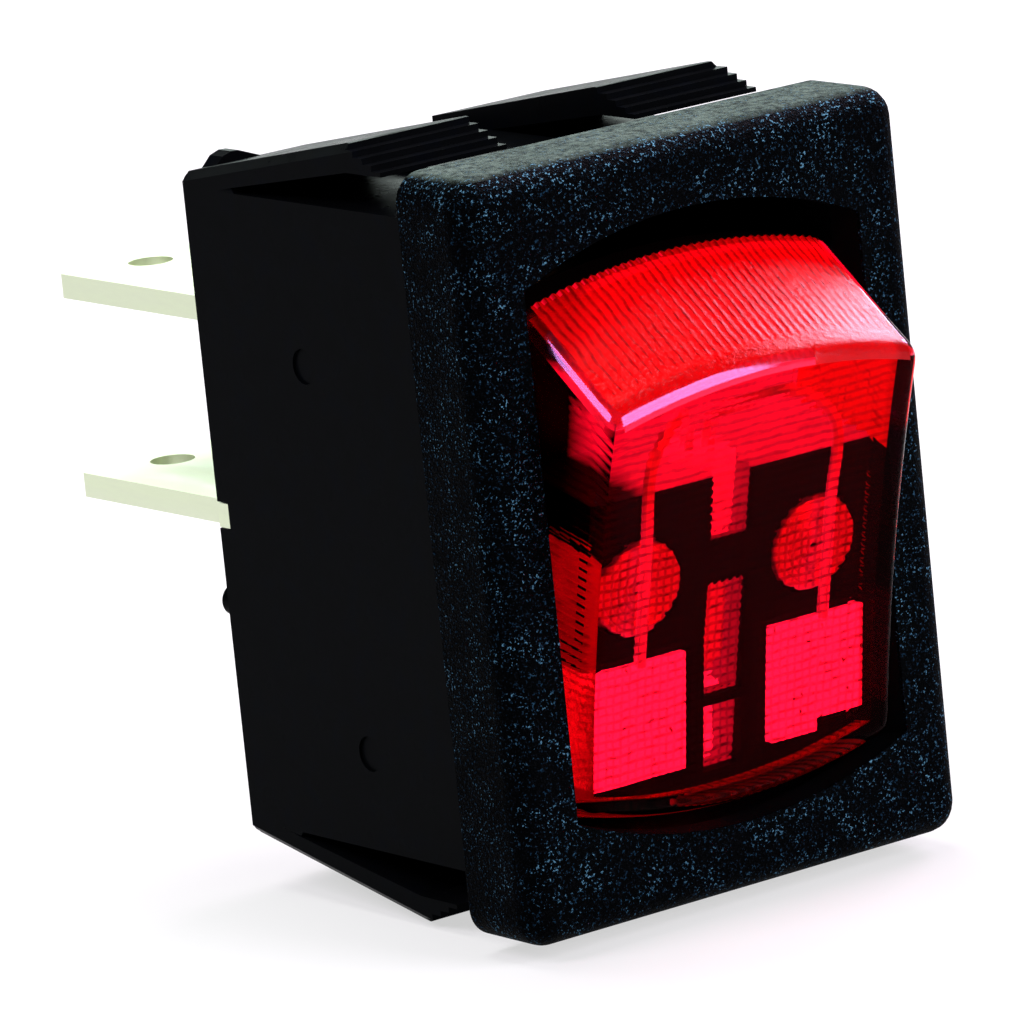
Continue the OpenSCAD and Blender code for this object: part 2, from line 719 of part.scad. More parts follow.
module plunger() {
    color("#c9a24b") in_rocker() translate([pole_x, 0, 0]) {
        bar_y(guide_start - spigot_l, guide_start + eps, spigot_r);
        bar_y(guide_start, guide_end, plunger_r);
        translate([0, guide_end, 0]) rotate([-90, 0, 0])
            cylinder(h = tip_d - guide_end, r1 = plunger_r, r2 = tip_r);
        translate([0, tip_d, 0]) sphere(tip_r);
    }
}

function helix_point(a, y0, y1, turns) =
    [spring_r * cos(a), y0 + (y1 - y0) * a / (360 * turns), spring_r * sin(a)];

module plunger_spring() {
    last = round(spring_turns * spring_sides);
    y0 = spring_start + wire_r;
    y1 = guide_start - wire_r - touch_gap;
    color("#9a9a9e") in_rocker() translate([pole_x, 0, 0])
        tube([for (i = [0:last]) helix_point(i * 360 / spring_sides, y0, y1, spring_turns)],
            wire_r, [0, 1, 0], 6);
}

// ---- Levers and contacts ----

// Half of a lever's middle line as (distance, height) from the knife edge.
lever_half = let (
    up = arc([0, lever_t / 2 + trough_r], trough_r, -90, trough_angle - 90, 6),
    a = up[len(up) - 1],
    crest = a + shoulder_r * [sin(trough_angle), -cos(trough_angle)],
    over = arc(crest, shoulder_r, 90 + trough_angle, 90 - wing_fall, 6),
    b = over[len(over) - 1],
    fall = (b[1] - wing_h - shoulder_r * (1 - cos(wing_fall))) / tan(wing_fall),
    c = b + [fall, -fall * tan(wing_fall)],
    level = arc(c + shoulder_r * [sin(wing_fall), cos(wing_fall)], shoulder_r,
        -90 - wing_fall, -90, 3))
    concat(up, [for (i = [1:len(over) - 1]) over[i]], level, [[lever_arm, wing_h]]);

lever_path = concat(
    [for (i = [len(lever_half) - 1:-1:1]) [-lever_half[i][1], -lever_half[i][0]]],
    [for (p = lever_half) [-p[1], p[0]]]);

module contact_lever() {
    color("#b87333") on_knife(1) difference() {
        along_x(-lever_w / 2, lever_w / 2) polygon(strip(lever_path, lever_t));
        for (s = sides)
            translate([s * (waist_w + lever_w) / 2, 0, 0])
                cube([lever_w, 4 * lever_t, 2 * waist_half], center = true);
        translate([0, 0, contact_z]) bar_y(-cut, cut, rivet_r);
    }
}

module moving_contact() {
    back = lever_t / 2 - wing_h;
    color("#dcdcdc") on_knife(1) translate([0, 0, contact_z]) {
        intersection() {
            bar_y(back, moving_contact_t + eps, contact_r);
            translate([0, moving_contact_t - dome_r, 0]) sphere(dome_r, $fn = 96);
        }
        bar_y(back - lever_t - rivet_head_t, back + eps, rivet_r);
        bar_y(back - lever_t - rivet_head_t, back - lever_t, rivet_head_r);
    }
}

module fixed_contact() {
    color("#dcdcdc") translate([pole_x, 0, fixed_contact_z]) {
        bar_y(contact_y, seat_y, contact_r);
        bar_y(seat_y - eps, floor_y - eps, rivet_r);
    }
}

// ---- Terminals ----

// Blade behind the body with its tapered tip and round hole.
module blade(z, shoulder_x) {
    difference() {
        translate([0, 0, z - blade_t / 2]) linear_extrude(blade_t) union() {
            translate([blade_x, 0]) polygon([
                [-blade_w / 2, body_d - shoulder_d], [blade_w / 2, body_d - shoulder_d],
                [blade_w / 2, tip_y - blade_tip], [blade_w / 2 - blade_tip, tip_y],
                [blade_tip - blade_w / 2, tip_y], [-blade_w / 2, tip_y - blade_tip]]);
            translate([blade_x, body_d - shoulder_d])
                square([shoulder_x - blade_x, shoulder_d]);
        }
        translate([blade_x, tip_y - blade_hole_d, z - blade_t])
            cylinder(h = 2 * blade_t, r = blade_hole_r);
    }
}

module load_terminal() {
    c = [seat_y + blade_t / 2 + bend_line_r, load_z + bend_line_r];
    color("#e9ead8") difference() {
        union() {
            blade(load_z, blade_x + blade_w / 2);
            along_x(pole_x - tang_w / 2, pole_x + tang_w / 2) polygon(strip(concat(
                [[body_d - shoulder_d / 2, load_z]], arc(c, bend_line_r, -90, -180, 6),
                [[c[0] - bend_line_r, fixed_contact_z + contact_r + flange_edge]]), blade_t));
        }
        translate([pole_x, 0, fixed_contact_z]) bar_y(seat_y - cut, floor_y + cut, rivet_r);
    }
}

// The common terminal ends in a knife edge between two horns, on which the lever rocks.
module common_terminal() {
    edge_y = knife_y + touch_gap;
    low = common_z - blade_t / 2;
    high = common_z + blade_t / 2;
    front = knife_y - horn_h - cut;
    color("#e9ead8") {
        blade(common_z, body_w / 2);
        difference() {
            translate([pole_x - tang_w / 2, knife_y - horn_h, low])
                cube([tang_w, body_d - shoulder_d / 2 - knife_y + horn_h, blade_t]);
            along_x(pole_x - horn_gap_w / 2, pole_x + horn_gap_w / 2) polygon([
                [front, low - cut], [edge_y - low, low - cut], [edge_y - low, low],
                [edge_y, 0], [edge_y + high, high], [edge_y + high, high + cut],
                [front, high + cut]]);
        }
    }
}

// ---- Left and right pieces ----

module left() {
    mirror([1, 0, 0]) children();
}

housing();
rocker_lens();
rocker_carrier();
lamp_tube();
lamp_resistor();
left() lamp_lead();  // lamp_lead_left
lamp_lead();  // lamp_lead_right
lamp_plate_left();
lamp_plate_right();
left() plunger();  // plunger_left
plunger();  // plunger_right
left() plunger_spring();  // plunger_spring_left
plunger_spring();  // plunger_spring_right
left() contact_lever();  // contact_lever_left
contact_lever();  // contact_lever_right
left() moving_contact();  // moving_contact_left
moving_contact();  // moving_contact_right
left() fixed_contact();  // fixed_contact_left
fixed_contact();  // fixed_contact_right
left() load_terminal();  // load_terminal_left
load_terminal();  // load_terminal_right
left() common_terminal();  // common_terminal_left
common_terminal();  // common_terminal_right
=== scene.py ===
import math

import bmesh
import bpy
from mathutils import Matrix, Vector


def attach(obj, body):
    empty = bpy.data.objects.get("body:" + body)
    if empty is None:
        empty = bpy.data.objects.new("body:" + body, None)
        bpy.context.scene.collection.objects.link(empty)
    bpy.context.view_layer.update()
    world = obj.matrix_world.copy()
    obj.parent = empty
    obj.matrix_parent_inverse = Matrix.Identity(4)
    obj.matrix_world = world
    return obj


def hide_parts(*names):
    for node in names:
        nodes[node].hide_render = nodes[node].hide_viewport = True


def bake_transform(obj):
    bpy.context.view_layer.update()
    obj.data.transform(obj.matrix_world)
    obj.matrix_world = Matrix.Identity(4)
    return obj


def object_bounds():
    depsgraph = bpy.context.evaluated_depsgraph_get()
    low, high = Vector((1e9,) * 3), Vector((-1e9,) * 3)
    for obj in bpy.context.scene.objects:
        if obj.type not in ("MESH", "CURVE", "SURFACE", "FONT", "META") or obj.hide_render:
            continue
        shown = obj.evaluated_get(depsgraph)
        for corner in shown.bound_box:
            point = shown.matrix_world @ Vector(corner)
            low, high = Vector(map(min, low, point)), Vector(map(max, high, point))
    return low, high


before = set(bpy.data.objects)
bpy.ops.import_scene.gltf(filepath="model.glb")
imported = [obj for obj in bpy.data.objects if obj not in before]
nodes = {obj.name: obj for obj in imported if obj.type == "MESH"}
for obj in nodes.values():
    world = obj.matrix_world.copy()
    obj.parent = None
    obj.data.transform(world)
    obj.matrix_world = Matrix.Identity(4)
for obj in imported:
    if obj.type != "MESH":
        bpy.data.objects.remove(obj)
cad_low, cad_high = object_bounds()
MM = 0.001

# The scene dresses the CAD nodes and replaces three of them: the lens by a ribbed shell, and the
# springs' plain sleeves by wound wire. Forms and masks are in millimetres, as in the part's
# source, and MM or TO_REST turns them to metres. Lights, floor, noise and bumps are in metres.

# Housing
BEZEL_T = 2.9
BEZEL_TOP = 10.5
BEZEL_EDGE_R = 0.8
BODY_HALF_W = 6.45
BODY_HALF_H = 9.45

# Rocker, around its pivot and along its own face
PIVOT_Y = 2.4
TILT = math.radians(14.2)
ROCKER_W = 10.6
CREST_D = 6.9
RIM_D = 2.6
FACE_HALF = 5.63
DISH = 0.28
FLARE = math.radians(22.5)
BOW = 0.75
WALL = 0.5
FACE_R = (FACE_HALF ** 2 + DISH ** 2) / (2 * DISH)
BOW_R = (ROCKER_W ** 2 / 4 + BOW ** 2) / (2 * BOW)
SHIFT = BOW_R - BOW
TO_REST = (Matrix.Translation((0, PIVOT_Y * MM, 0)) @ Matrix.Rotation(TILT, 4, "X")
           @ Matrix.Scale(MM, 4))

# Fine forms of the lens: pitch and depths of its ribs, and how they end at its edges
PITCH = 0.26
RIB_D = 0.016
NOTCH_D = 0.05
FLUTE_D = 0.07
GRID_D = 0.03
UPRIGHT_SHARE = 0.35
MARGIN = 0.52
FADE = 0.3
EDGE_BEVEL = 0.42
EDGE_ANGLE = math.radians(40)

# Shares of a wall's depth, from the crest to the rim
FIRST_STEP = 0.13
RIBS_START = 0.17
RIBS_LEAD = 0.05
NOTCHES_START = 0.93

# Coil springs, whose fronts are wound into a flat spiral
POLE_X = 3.0
COIL_R = 1.28
SPIRAL_R = 0.1
WIRE_R = 0.105
SPIRAL_Y = -5.55
COIL_REAR_Y = 0.72
STEPS_PER_TURN = 24
SPIRAL_TURNS = 6
FLAT_TURNS = 2.25
FLAT_RISE = 0.002  # per step
COIL_TURNS = 6


# ---------------------------------------------------------------- camera

# From 35.8 degrees left of the front and 12.2 degrees above it, and rolled by 5.9 degrees
CAMERA_AT = (-140.325, -187.652, 50.99)
CAMERA_RIGHT = (0.79418, -0.59943, -0.09978)
CAMERA_BACK = (-0.57183, -0.79276, 0.21106)
CAMERA_LENS = 314.85
CAMERA_SENSOR = 36


def make_camera():
    """Camera that looks at the part as the photograph does."""
    data = bpy.data.cameras.new("camera")
    data.sensor_width = CAMERA_SENSOR
    data.lens = CAMERA_LENS
    data.clip_start, data.clip_end = 0.01, 20
    cam = bpy.data.objects.new("camera", data)
    bpy.context.scene.collection.objects.link(cam)
    right, back = Vector(CAMERA_RIGHT), Vector(CAMERA_BACK)
    up = back.cross(right).normalized()
    m = Matrix((right, up, back)).transposed().to_4x4()
    m.translation = Vector(CAMERA_AT) * MM
    cam.matrix_world = m
    bpy.context.scene.camera = cam


# ---------------------------------------------------------------- materials

class Mat:
    """A material with a Principled shader, and short calls that add nodes to it."""

    def __init__(self, name):
        self.mat = bpy.data.materials.new(name)
        self.mat.use_nodes = True
        self.tree = self.mat.node_tree
        self.bsdf = self.tree.nodes["Principled BSDF"]

    def set(self, **values):
        """Sets inputs of the shader to constants and returns the material."""
        for key, value in values.items():
            self.bsdf.inputs[key.replace("_", " ")].default_value = value
        return self.mat

    def node(self, kind, **props):
        n = self.tree.nodes.new(kind)
        for key, value in props.items():
            setattr(n, key, value)
        return n

    def fill(self, socket, value):
        """Links an input to another node's output, or sets it to a number."""
        if isinstance(value, bpy.types.NodeSocket):
            self.tree.links.new(value, socket)
        else:
            socket.default_value = value

    def put(self, name, value):
        self.fill(self.bsdf.inputs[name], value)

    def coords(self):
        return self.node("ShaderNodeTexCoord").outputs["Object"]

    def axes(self, pivot_y=0.0, tilt=0.0):
        """x, y and z in millimetres, around a pivot and turned by tilt."""
        turn = self.node("ShaderNodeMapping", vector_type="TEXTURE")
        self.fill(turn.inputs["Vector"], self.coords())
        turn.inputs["Location"].default_value = (0, pivot_y * MM, 0)
        turn.inputs["Rotation"].default_value = (tilt, 0, 0)
        turn.inputs["Scale"].default_value = (MM, MM, MM)
        xyz = self.node("ShaderNodeSeparateXYZ")
        self.fill(xyz.inputs[0], turn.outputs["Vector"])
        return list(xyz.outputs)

    def rocker_axes(self):
        return self.axes(PIVOT_Y, TILT)

    def math(self, op, *values, clamp=False):
        n = self.node("ShaderNodeMath", operation=op, use_clamp=clamp)
        for socket, value in zip(n.inputs, values):
            self.fill(socket, value)
        return n.outputs[0]

    def times(self, first, *others):
        for other in others:
            first = self.math("MULTIPLY", first, other)
        return first

    def most(self, a, b):
        return self.math("MAXIMUM", a, b)

    def above(self, value, limit):
        return self.math("GREATER_THAN", value, limit)

    def below(self, value, limit):
        return self.math("LESS_THAN", value, limit)

    def size(self, value):
        return self.math("ABSOLUTE", value)

    def span(self, value, low, high, to_low=0.0, to_high=1.0):
        """Maps low..high to to_low..to_high, and holds at the ends."""
        n = self.node("ShaderNodeMapRange", clamp=True)
        self.fill(n.inputs["Value"], value)
        for key, number in (("From Min", low), ("From Max", high),
                            ("To Min", to_low), ("To Max", to_high)):
            n.inputs[key].default_value = number
        return n.outputs["Result"]

    def noise(self, scale, detail=2.0, rough=0.5, stretch=None):
        vector = self.coords()
        if stretch:
            mapping = self.node("ShaderNodeMapping")
            self.fill(mapping.inputs["Vector"], vector)
            mapping.inputs["Scale"].default_value = stretch
            vector = mapping.outputs["Vector"]
        n = self.node("ShaderNodeTexNoise")
        self.fill(n.inputs["Vector"], vector)
        n.inputs["Scale"].default_value = scale
        n.inputs["Detail"].default_value = detail
        n.inputs["Roughness"].default_value = rough
        return n.outputs["Fac"]

    def patches(self, scale, to_low, to_high, detail=2.0, low=0.3, high=0.7, **noise):
        """Soft patches of noise between two values."""
        return self.span(self.noise(scale, detail, **noise), low, high, to_low, to_high)

    def lines(self, along, low, high):
        """1 along the valleys of the lens's fine ribs, which wander a little, and 0 elsewhere."""
        drift = self.patches(1300, -0.05, 0.05, low=0.25, high=0.75)
        turn = self.times(self.math("ADD", along, drift), 2 * math.pi / PITCH)
        return self.span(self.math("COSINE", turn), low, high)

    def ramp(self, value, *stops):
        """Colour from stops of (position, red, green, blue)."""
        n = self.node("ShaderNodeValToRGB")
        self.fill(n.inputs["Fac"], value)
        elements = n.color_ramp.elements
        for element, (position, *color) in zip(elements, (stops[0], stops[-1])):
            element.position, element.color = position, (*color, 1)
        for position, *color in stops[1:-1]:
            elements.new(position).color = (*color, 1)
        return n.outputs["Color"]

    def mix(self, amount, a, b):
        """Colour a, turning to b as amount goes from 0 to 1."""
        n = self.node("ShaderNodeMix", data_type="RGBA")
        colors = [socket for socket in n.inputs if socket.type == "RGBA"]
        for socket, value in zip((n.inputs[0], *colors), (amount, a, b)):
            self.fill(socket, value)
        return next(socket for socket in n.outputs if socket.type == "RGBA")

    def bump(self, height, distance, strength, before=None):
        """Bumps the shader's normal, on top of an earlier bump if there is one."""
        n = self.node("ShaderNodeBump")
        n.inputs["Distance"].default_value = distance
        self.fill(n.inputs["Strength"], strength)
        self.fill(n.inputs["Height"], height)
        if before is not None:
            self.fill(n.inputs["Normal"], before)
        self.put("Normal", n.outputs["Normal"])
        return n.outputs["Normal"]


def shaded(color, share):
    return tuple(c * share for c in color)


def housing_material():
    """Black plastic: grain specks, partly painted glints; a painted sheen along its top side; a
    smooth body.
    """
    m = Mat("housing_plastic")
    x, y, z = m.axes()
    front = m.below(y, 0.08 - BEZEL_T)
    beside = m.above(m.size(x), BODY_HALF_W + 0.15)
    beyond = m.above(m.size(z), BODY_HALF_H + 0.15)
    grained = m.most(front, m.times(m.below(y, -0.02), m.most(beside, beyond)))

    # Lighter blue-grey specks of the grain, painted into the colour; they also stand in for its
    # glints, a painted highlight.
    coarse = m.noise(8000, 2.0, 0.6)
    fine = m.noise(16000, 2.0, 0.6)
    dots = m.times(m.span(m.times(coarse, fine), 0.26, 0.43), m.patches(1100, 0.5, 1.0))
    # Specks grow denser toward the bezel's top rounding: a painted highlight where the light from
    # above falls.
    top_lit = m.span(z, BEZEL_TOP - BEZEL_EDGE_R, BEZEL_TOP - 0.2, 1.0, 1.5)
    specks_and_glints = m.math("MULTIPLY", m.times(dots, top_lit, grained), 0.8, clamp=True)
    body = m.times(m.math("SUBTRACT", 1.0, grained), m.patches(1500, 0.17, 0.23, 3.0))
    shade = m.ramp(m.most(specks_and_glints, body), (0.0, 0.0001, 0.0002, 0.0004),
                   (0.2, 0.0013, 0.0015, 0.0018), (0.28, 0.0008, 0.0014, 0.003),
                   (0.52, 0.004, 0.018, 0.036), (0.8, 0.07, 0.17, 0.24))

    # Along the bezel's top side the colour turns lighter: a painted sheen, standing in for the
    # glare of the light from above.
    top = m.times(m.below(y, 0.0), m.span(z, BEZEL_TOP - 0.14, BEZEL_TOP - 0.01))
    top = m.times(top, m.patches(4600, 0.15, 1.0, 4.0, 0.36, 0.62, rough=0.7))
    painted_sheen = m.ramp(m.noise(900), (0.3, 0.055, 0.08, 0.066), (0.7, 0.09, 0.122, 0.102))
    m.put("Base Color", m.mix(top, shade, painted_sheen))

    m.put("Roughness", m.math("ADD", m.times(grained, 0.25), m.patches(900, 0.24, 0.36)))
    smooth = m.bump(m.noise(700), 0.0000015, 0.3)
    grain = m.math("ADD", coarse, m.times(fine, 0.6))
    m.bump(grain, 0.00006, m.times(grained, 0.9), before=smooth)
    return m.set(Specular_IOR_Level=0.008, Specular_Tint=(0.8, 0.95, 1.0, 1))


def lens_material(name, rough, ior, tint, grid=False):
    """Clear red plastic; with grid, painted shade darkens it along the lines of the fine grid
    inside the face.
    """
    m = Mat(name)
    shade = m.times(m.noise(500), 0.12)
    if grid:
        x, _, z = m.rocker_axes()
        # Darker lines along the grid's valleys: painted shade of the fine ribs.
        upright = m.times(m.lines(x, 0.0, 0.9), m.span(z, 0.8, 2.6, 0.75, 0.1))
        level = m.times(m.lines(z, -0.2, 0.8), m.span(z, 1.8, 4.2, 1.0, 0.5))
        broken = m.patches(3000, 0.5, 1.0, 3.0, 0.35, 0.65)
        shade = m.most(shade, m.times(m.most(level, upright), broken))
    m.put("Base Color", m.ramp(shade, (0.0, 0.975, 0.0045, 0.030), (1.0, 0.06, 0.0002, 0.0012)))
    m.put("Roughness", m.patches(3000, rough * 0.6, rough * 1.4, high=0.75))
    m.bump(m.noise(2600, 3.0), 0.000004, 0.3)
    return m.set(Transmission_Weight=1.0, IOR=ior, Specular_Tint=tint)


def ribbed_material(name, glow):
    """Red that scatters light, with painted shade in the ribs' valleys and on the plain strip
    along the crest.
    """
    m = Mat(name)
    x, y, _ = m.rocker_axes()
    # Painted shade: the ribs' valleys and the plain strip along the crest are darkened.
    crest_shade = m.span(y, -6.35, -6.0, 1.0, 0.0)
    valley_shade = m.times(m.lines(x, -0.2, 0.9), m.patches(2500, 0.45, 0.85))
    shade = m.most(m.times(valley_shade, m.math("SUBTRACT", 1.0, crest_shade)), m.times(crest_shade, 0.62))
    m.put("Base Color", m.ramp(shade, (0.0, 0.96, 0.0005, 0.002), (1.0, 0.12, 0.0, 0.0003)))
    # With glow, the emission is a painted glow, standing in for outside light scattered through
    # the wall.
    m.put("Emission Color", m.ramp(shade, (0.0, 0.96, 0.004, 0.03), (1.0, 0.3, 0.0, 0.003)))
    m.put("Roughness", m.patches(7000, 0.05, 0.26, 3.0, 0.35, 0.65))
    m.bump(m.noise(5600, 3.0, 0.7), 0.00003, 0.9)
    return m.set(Emission_Strength=glow, Transmission_Weight=0.5, IOR=1.22,
                 Specular_Tint=(1.0, 0.66, 0.92, 1))


def carrier_material():
    """Black plastic, with painted light (a light pink colour and glow) on the ledge above its
    block, dimmer on the walls in the lamp's slot.
    """
    m = Mat("carrier_plastic")
    x, y, z = m.rocker_axes()
    # Painted light: the ledge and the slot's walls get a light pink colour and emission.
    ledge = m.times(m.above(z, 2.78), m.below(y, -2.53), m.span(x, -3.4, -2.5),
                    m.span(z, 2.8, 4.4, 0.5, 1.0),
                    m.patches(900, 0.65, 1.0, low=0.35, high=0.65, stretch=(0.35, 1, 3)))
    slot = m.times(m.below(m.size(x), 1.1), m.above(y, -5.5), m.below(y, -2.8), 0.22)
    painted_light = m.times(m.most(ledge, slot), m.patches(900, 0.75, 1.0, 3.0, 0.25, 0.75))
    m.put("Base Color", m.ramp(painted_light, (0.0, 0.0015, 0.0004, 0.0004), (1.0, 0.90, 0.72, 0.76)))
    m.put("Emission Color", m.ramp(painted_light, (0.0, 0.0, 0.0, 0.0), (1.0, 1.0, 0.5, 0.8)))
    m.put("Roughness", m.patches(1500, 0.3, 0.42))
    m.bump(m.noise(1800, 3.0), 0.000004, 0.3)
    return m.set(Emission_Strength=1.7, Specular_IOR_Level=0.02)


def resistor_material():
    """Pale lacquer with a painted glint (emission) behind the lens."""
    m = Mat("resistor_lacquer_painted_glint")
    lacquer = (0.92, 0.82, 0.86)
    m.put("Base Color", m.ramp(m.noise(600, 3.0), (0.3, *shaded(lacquer, 0.8)), (0.7, *lacquer)))
    # Emission: a painted glint.
    m.put("Emission Color", m.ramp(m.noise(3200), (0.3, *shaded(lacquer, 0.6)), (0.7, *lacquer)))
    m.put("Roughness", m.patches(1500, 0.34, 0.48))
    m.bump(m.noise(1800, 3.0), 0.000003, 0.3)
    return m.set(Emission_Strength=2.6, Specular_IOR_Level=0.4)


def metal_material(name, color, rough, stretch=None, glow=0.0):
    """Drawn or pressed metal; with glow it has a painted glint (emission), which fades in front of
    the carrier's ledge.
    """
    m = Mat(name)
    base = m.noise(1400, 4.0, 0.6, stretch)
    m.put("Base Color", m.ramp(base, (0.25, *shaded(color, 0.86)), (0.65, *color)))
    if glow:
        # Painted glint: emission that fades out from 1.6 to 3 mm up the rocker, in front of the
        # ledge.
        _, _, z = m.rocker_axes()
        fade = m.span(z, 1.6, 3.0, 1.0, 0.12)
        m.put("Emission Color", m.ramp(fade, (0.0, 0.0, 0.0, 0.0), (1.0, *color)))
        m.set(Emission_Strength=glow)
    m.put("Roughness", m.span(base, 0.3, 0.7, rough * 0.8, rough * 1.3))
    m.bump(base, 0.000004, 0.35)
    return m.set(Metallic=1.0)


def plate_material():
    """Bright tin with a few dark pits and a painted glow (emission), weaker on the strip at the
    plates' outer edges.
    """
    m = Mat("lamp_plate_tin_painted_glow")
    x, _, _ = m.rocker_axes()
    pits = m.span(m.noise(4200, 1.0), 0.25, 0.31)
    # Painted glow: emission, less on the pits and weaker toward the plates' outer edges.
    painted_glow_mask = m.times(pits, m.span(m.size(x), 4.50, 4.62, 1.0, 0.3))
    m.put("Base Color", m.ramp(pits, (0.0, 0.30, 0.28, 0.28), (1.0, 0.95, 0.94, 0.93)))
    m.put("Emission Color", m.ramp(painted_glow_mask, (0.0, 0.05, 0.03, 0.03), (1.0, 1.0, 0.9, 1.0)))
    m.put("Roughness", m.patches(2200, 0.45, 0.6, 3.0))
    m.bump(m.noise(5000), 0.000008, 0.4)
    return m.set(Metallic=0.2, Emission_Strength=2.5)


def glass_material():
    """Lamp tube: milky glass with a painted glint (emission) that is brighter towards its upper
    end.
    """
    m = Mat("lamp_glass")
    _, _, z = m.rocker_axes()
    # Painted glint: emission, stronger toward the tube's upper end.
    glint = m.times(m.span(z, -0.9, 0.9, 0.16, 1.0), m.noise(2800))
    m.put("Base Color", m.ramp(m.noise(1500), (0.3, 0.93, 0.86, 0.80), (0.7, 0.98, 0.93, 0.88)))
    m.put("Emission Color", m.ramp(glint, (0.0, 0.0, 0.0, 0.0), (0.6, 1.0, 0.5, 0.65)))
    m.put("Roughness", m.patches(2500, 0.05, 0.12))
    return m.set(Transmission_Weight=0.35, IOR=1.48, Emission_Strength=0.8)


def floor_material():
    """Pale paper that stays white under the soft lights."""
    m = Mat("floor_paper")
    m.put("Base Color", m.ramp(m.noise(40), (0.3, 0.23, 0.23, 0.23), (0.7, 0.25, 0.25, 0.25)))
    return m.set(Roughness=0.9, Specular_IOR_Level=0.0, Emission_Color=(1, 1, 1, 1),
                 Emission_Strength=0.6)


# A low index of refraction keeps grey reflections off the clear red; only the edges shine.
RED_TINT = (1.0, 0.02, 0.06, 1)
EDGE_TINT = (0.88, 0.36, 1.0, 1)
MATS = {
    "housing": housing_material(),
    "lens": lens_material("lens_red", 0.03, 1.07, RED_TINT),
    "ribbed": ribbed_material("lens_ribbed_red", 0.0),
    # The wall and side materials carry a painted glow.
    "wall": ribbed_material("lens_wall_red_painted_glow", 0.55),
    "side": ribbed_material("lens_side_red_painted_glow", 0.2),
    "edge": lens_material("lens_edge_red", 0.12, 1.6, EDGE_TINT),
    "grid": lens_material("lens_grid_red", 0.05, 1.11, RED_TINT, grid=True),
    "carrier": carrier_material(),
    "glass": glass_material(),
    "resistor": resistor_material(),
    # Leads and springs carry a painted glint.
    "wire": metal_material("lead_tin_painted_glint", (0.95, 0.93, 0.93), 0.4, glow=0.7),
    "plate": plate_material(),
    "plunger": metal_material("plunger_brass", (0.80, 0.58, 0.27), 0.25),
    "spring": metal_material("spring_steel_painted_glint", (0.93, 0.90, 0.92), 0.42, glow=0.06),
    "lever": metal_material("lever_copper", (0.80, 0.45, 0.26), 0.3, (1, 1, 0.15)),
    "contact": metal_material("contact_silver", (0.93, 0.92, 0.90), 0.22),
    "terminal": metal_material("terminal_silver", (0.76, 0.84, 0.62), 0.45, (1, 0.2, 1)),
}


def dress(name, key):
    """Gives a CAD node its material."""
    o = nodes[name]
    o.data.materials.clear()
    o.data.materials.append(MATS[key])


def finish_mesh(name, mesh, keys, smooth):
    """Links a mesh as a piece, with its materials, smooth up to that angle in degrees."""
    mesh.validate()
    o = bpy.data.objects.new(name, mesh)
    bpy.context.scene.collection.objects.link(o)
    for key in keys:
        mesh.materials.append(MATS[key])
    mesh.polygons.foreach_set("use_smooth", [True] * len(mesh.polygons))
    mesh.set_sharp_from_angle(angle=math.radians(smooth))
    return o


# ---------------------------------------------------------------- lens

LENS_MATERIALS = ("lens", "ribbed", "edge", "grid", "wall", "side")
END_Z = 5.0  # beyond it, edges and faces belong to an end of the rocker
NEAR = 0.001
SIDE_X = ROCKER_W / 2 - NEAR
CREST_END = 0.45


def face_y(z, inset=0.0):
    """Depth of the dished face at a height."""
    return DISH - CREST_D - FACE_R + inset + math.sqrt(FACE_R ** 2 - z * z)


def end_z(x, y, inset=0.0):
    """Height of the upper end wall, which is bowed across and flared towards the rim."""
    across = math.sqrt((BOW_R - inset) ** 2 - x * x)
    y0 = -CREST_D + SHIFT * math.sin(FLARE)
    z0 = FACE_HALF - SHIFT * math.cos(FLARE)
    return z0 + (across + (y - y0) * math.sin(FLARE)) / math.cos(FLARE)


def crest(x, inset=0.0):
    """Depth and height of the edge where the face meets the end wall."""
    z = FACE_HALF
    for _ in range(20):
        z = end_z(x, face_y(z, inset), inset)
    return face_y(z, inset), z


